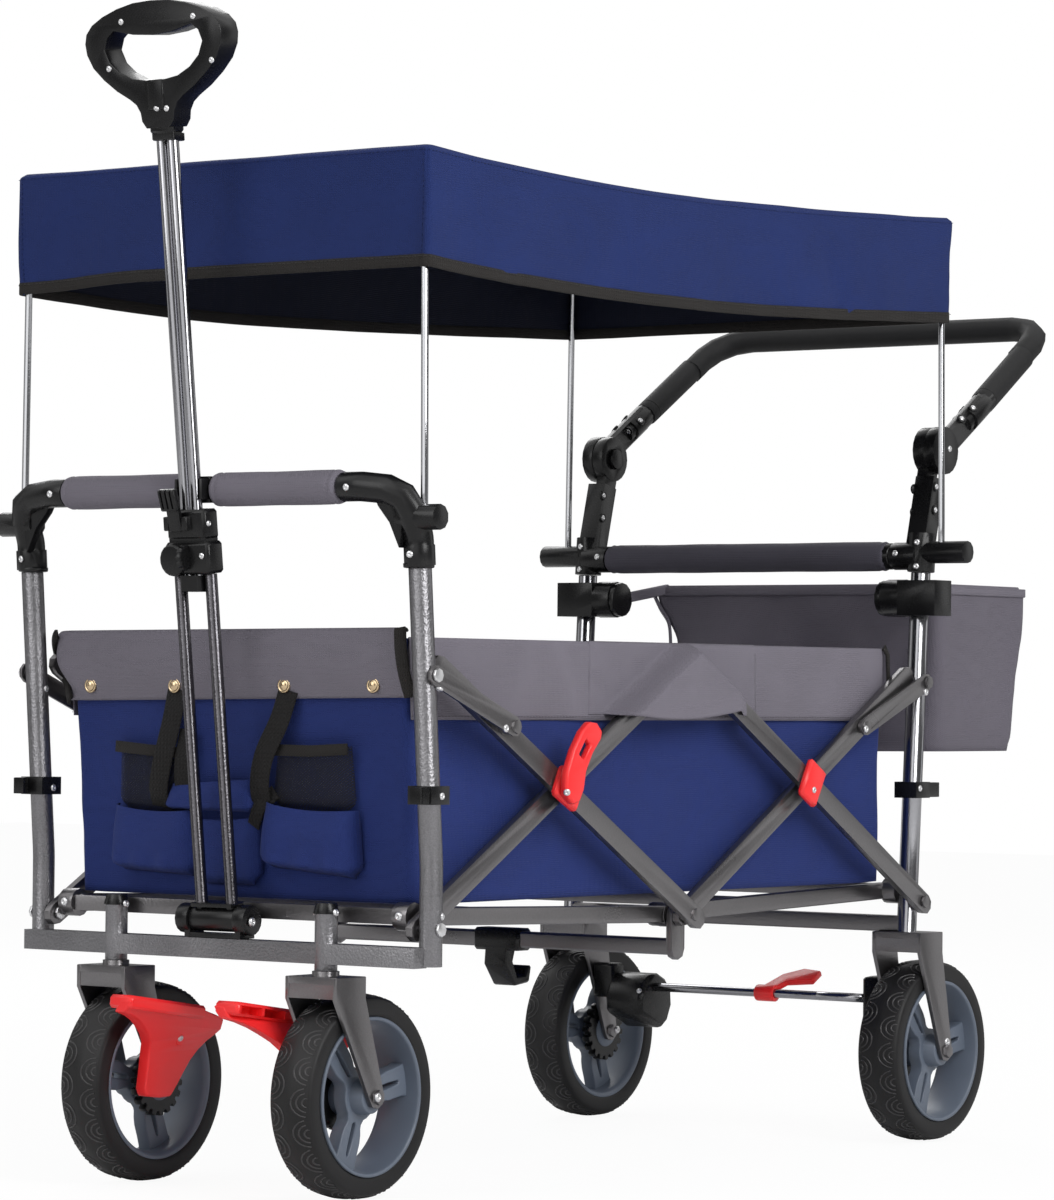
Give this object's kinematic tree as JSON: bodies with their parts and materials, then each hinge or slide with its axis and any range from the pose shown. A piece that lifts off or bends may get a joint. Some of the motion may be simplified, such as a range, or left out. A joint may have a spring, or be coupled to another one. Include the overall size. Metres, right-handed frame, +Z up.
{
  "type": "folding wagon",
  "caption": "Folding four-wheeled wagon with a cloth basket and canopy, a telescopic pull handle, a tilting push handlebar, a rear bag and foot brakes.",
  "frame": {"origin": "on the floor, below the middle of the wagon's whole width and length", "axes": "+X to the wagon's right seen from behind the pull handle's side, +Y from the pull handle to the push handlebar, +Z up"},
  "size_m": [0.586, 1.3596, 1.1773],
  "materials": {
    "hammered": "hammered silver-grey paint",
    "gunmetal": "satin gunmetal paint",
    "chrome": "polished",
    "black_plastic": "satin moulded",
    "red_plastic": "satin moulded",
    "tyre": "moulded tread",
    "rim": "satin moulded",
    "foam": "matt foam",
    "navy_cloth": "woven polyester",
    "grey_cloth": "woven polyester"
  },
  "bodies": {
    "front_frame": {"front_frame": "hammered", "top_bar": "black_plastic", "top_elbow_right": "black_plastic", "top_elbow_left": "black_plastic", "canopy_hoop_front": "chrome", "pull_pivot_bracket": "black_plastic", "basket": "navy_cloth", "canopy": "navy_cloth"},
    "front_riser_bars": {"front_riser_bar_right": "gunmetal", "front_riser_bar_left": "gunmetal"},
    "front_lock_bars": {"front_lock_bar_right": "gunmetal", "front_lock_bar_left": "gunmetal", "middle_tube": "gunmetal"},
    "rear_riser_bars": {"rear_riser_bar_right": "gunmetal", "rear_riser_bar_left": "gunmetal"},
    "rear_lock_bars": {"rear_lock_bar_right": "gunmetal", "rear_lock_bar_left": "gunmetal"},
    "rear_frame": {"rear_frame": "hammered", "handle_column_right": "black_plastic", "handle_column_left": "black_plastic", "rear_top_bar": "grey_cloth", "canopy_hoop_rear": "chrome", "bag_clamp_right": "black_plastic", "bag_clamp_left": "black_plastic", "bag_frame": "gunmetal", "storage_bag": "grey_cloth", "brake_housing_right": "black_plastic", "brake_housing_left": "black_plastic"},
    "front_links": {"front_link_right": "gunmetal", "front_link_left": "gunmetal"},
    "rear_links": {"rear_link_right": "gunmetal", "rear_link_left": "gunmetal"},
    "floor_front": {"floor_frame_front": "gunmetal"},
    "floor_rear": {"floor_frame_rear": "gunmetal"},
    "handlebar": {"handlebar": "gunmetal", "handlebar_grip": "foam"},
    "rear_brake": {"brake_rod": "chrome", "brake_pedal": "red_plastic"},
    "pull_lower": {"pull_lower_tubes": "hammered", "pull_clamp": "black_plastic"},
    "pull_upper": {"pull_upper_tubes": "chrome", "pull_grip": "black_plastic"},
    "clamp_lever": {"clamp_lever": "black_plastic"},
    "caster_right": {"caster_fork_right": "gunmetal"},
    "front_wheel_right": {"front_right_tyre": "tyre", "front_right_rim": "rim"},
    "rear_wheel_right": {"rear_right_tyre": "tyre", "rear_right_rim": "rim"},
    "front_brake_right": {"front_brake_pedal_right": "red_plastic"},
    "hub_button_right": {"hub_button_right": "black_plastic"},
    "latch_lever_right": {"latch_lever_right": "red_plastic"},
    "caster_left": {"caster_fork_left": "gunmetal"},
    "front_wheel_left": {"front_left_tyre": "tyre", "front_left_rim": "rim"},
    "rear_wheel_left": {"rear_left_tyre": "tyre", "rear_left_rim": "rim"},
    "front_brake_left": {"front_brake_pedal_left": "red_plastic"},
    "hub_button_left": {"hub_button_left": "black_plastic"},
    "latch_lever_left": {"latch_lever_left": "red_plastic"}
  },
  "joints": [
    {"name": "fold", "type": "hinge", "parent": "front_frame", "child": "front_riser_bars", "pos_m": [0, -0.54225, 0.27], "axis": [1, 0, 0], "range_deg": [0, 48], "deforming": ["basket", "canopy"]},
    {"name": "rear_riser_turn", "type": "hinge", "parent": "front_riser_bars", "child": "rear_riser_bars", "pos_m": [0, -0.08725, 0.53269], "axis": [1, 0, 0], "range_deg": [-96, 0]},
    {"name": "rear_frame_turn", "type": "hinge", "parent": "rear_riser_bars", "child": "rear_frame", "pos_m": [0, 0.36775, 0.27], "axis": [1, 0, 0], "range_deg": [0, 48]},
    {"name": "front_lock_turn", "type": "hinge", "parent": "front_riser_bars", "child": "front_lock_bars", "pos_m": [0, -0.31475, 0.40135], "axis": [1, 0, 0], "range_deg": [-96, 0]},
    {"name": "rear_lock_turn", "type": "hinge", "parent": "rear_riser_bars", "child": "rear_lock_bars", "pos_m": [0, 0.14025, 0.40135], "axis": [1, 0, 0], "range_deg": [0, 96]},
    {"name": "front_link_turn", "type": "hinge", "parent": "front_frame", "child": "front_links", "pos_m": [0, -0.55671, 0.516], "axis": [1, 0, 0], "range_deg": [0, 94.06]},
    {"name": "rear_link_turn", "type": "hinge", "parent": "rear_frame", "child": "rear_links", "pos_m": [0, 0.37986, 0.516], "axis": [1, 0, 0], "range_deg": [-94.06, 0]},
    {"name": "floor_front_turn", "type": "hinge", "parent": "front_frame", "child": "floor_front", "pos_m": [0, -0.53475, 0.281], "axis": [1, 0, 0], "range_deg": [0, 78.44]},
    {"name": "floor_rear_turn", "type": "hinge", "parent": "rear_frame", "child": "floor_rear", "pos_m": [0, 0.36925, 0.281], "axis": [1, 0, 0], "range_deg": [-78.44, 0]},
    {"name": "handlebar_tilt", "type": "hinge", "parent": "rear_frame", "child": "handlebar", "pos_m": [0, 0.41825, 0.779], "axis": [1, 0, 0], "range_deg": [-50, 45]},
    {"name": "rear_brake_turn", "type": "hinge", "parent": "rear_frame", "child": "rear_brake", "pos_m": [0, 0.37175, 0.158], "axis": [1, 0, 0], "range_deg": [-25, 0]},
    {"name": "pull_pivot", "type": "hinge", "parent": "front_frame", "child": "pull_lower", "pos_m": [0, -0.56225, 0.272], "axis": [1, 0, 0], "range_deg": [0, 83]},
    {"name": "pull_slide", "type": "slide", "parent": "pull_lower", "child": "pull_upper", "axis": [0, 0.1158, -0.9933], "range_m": [0, 0.3]},
    {"name": "clamp_lever_turn", "type": "hinge", "parent": "pull_lower", "child": "clamp_lever", "pos_m": [-0.008, -0.6238, 0.65746], "axis": [1, 0, 0], "range_deg": [0, 75]},
    {"name": "caster_swivel_right", "type": "hinge", "parent": "front_frame", "child": "caster_right", "pos_m": [0.136, -0.55975, 0.221], "axis": [0, 0, 1], "continuous": true},
    {"name": "front_wheel_spin_right", "type": "hinge", "parent": "caster_right", "child": "front_wheel_right", "pos_m": [0.136, -0.51725, 0.1015], "axis": [1, 0, 0], "continuous": true},
    {"name": "rear_wheel_spin_right", "type": "hinge", "parent": "rear_frame", "child": "rear_wheel_right", "pos_m": [0.231, 0.39825, 0.1015], "axis": [1, 0, 0], "continuous": true},
    {"name": "front_brake_tilt_right", "type": "hinge", "parent": "caster_right", "child": "front_brake_right", "pos_m": [0.0988, -0.50725, 0.152], "axis": [1, 0, 0], "range_deg": [0, 4]},
    {"name": "hub_button_push_right", "type": "slide", "parent": "rear_frame", "child": "hub_button_right", "axis": [1, 0, 0], "range_m": [0, 0.003], "stiffness_N_per_m": 500, "springref_m": -0.001},
    {"name": "latch_turn_right", "type": "hinge", "parent": "front_lock_bars", "child": "latch_lever_right", "pos_m": [0.265, -0.32475, 0.40535], "axis": [1, 0, 0], "range_deg": [-55, 0]},
    {"name": "caster_swivel_left", "type": "hinge", "parent": "front_frame", "child": "caster_left", "pos_m": [-0.136, -0.55975, 0.221], "axis": [0, 0, 1], "continuous": true},
    {"name": "front_wheel_spin_left", "type": "hinge", "parent": "caster_left", "child": "front_wheel_left", "pos_m": [-0.136, -0.51725, 0.1015], "axis": [1, 0, 0], "continuous": true},
    {"name": "rear_wheel_spin_left", "type": "hinge", "parent": "rear_frame", "child": "rear_wheel_left", "pos_m": [-0.231, 0.39825, 0.1015], "axis": [1, 0, 0], "continuous": true},
    {"name": "front_brake_tilt_left", "type": "hinge", "parent": "caster_left", "child": "front_brake_left", "pos_m": [-0.0988, -0.50725, 0.152], "axis": [1, 0, 0], "range_deg": [0, 4]},
    {"name": "hub_button_push_left", "type": "slide", "parent": "rear_frame", "child": "hub_button_left", "axis": [-1, 0, 0], "range_m": [0, 0.003], "stiffness_N_per_m": 500, "springref_m": -0.001},
    {"name": "latch_turn_left", "type": "hinge", "parent": "front_lock_bars", "child": "latch_lever_left", "pos_m": [-0.265, -0.32475, 0.40535], "axis": [1, 0, 0], "range_deg": [-55, 0]}
  ],
  "couplings": [
    {"joint": "rear_riser_turn", "follows": "fold", "ratio": -2},
    {"joint": "rear_frame_turn", "follows": "fold", "ratio": 1},
    {"joint": "front_lock_turn", "follows": "fold", "ratio": -2},
    {"joint": "rear_lock_turn", "follows": "fold", "ratio": 2},
    {"joint": "front_link_turn", "follows": "fold", "ratio": 1.9594},
    {"joint": "rear_link_turn", "follows": "fold", "ratio": -1.9594},
    {"joint": "floor_front_turn", "follows": "fold", "ratio": 1.6339},
    {"joint": "floor_rear_turn", "follows": "fold", "ratio": -1.6339}
  ]
}
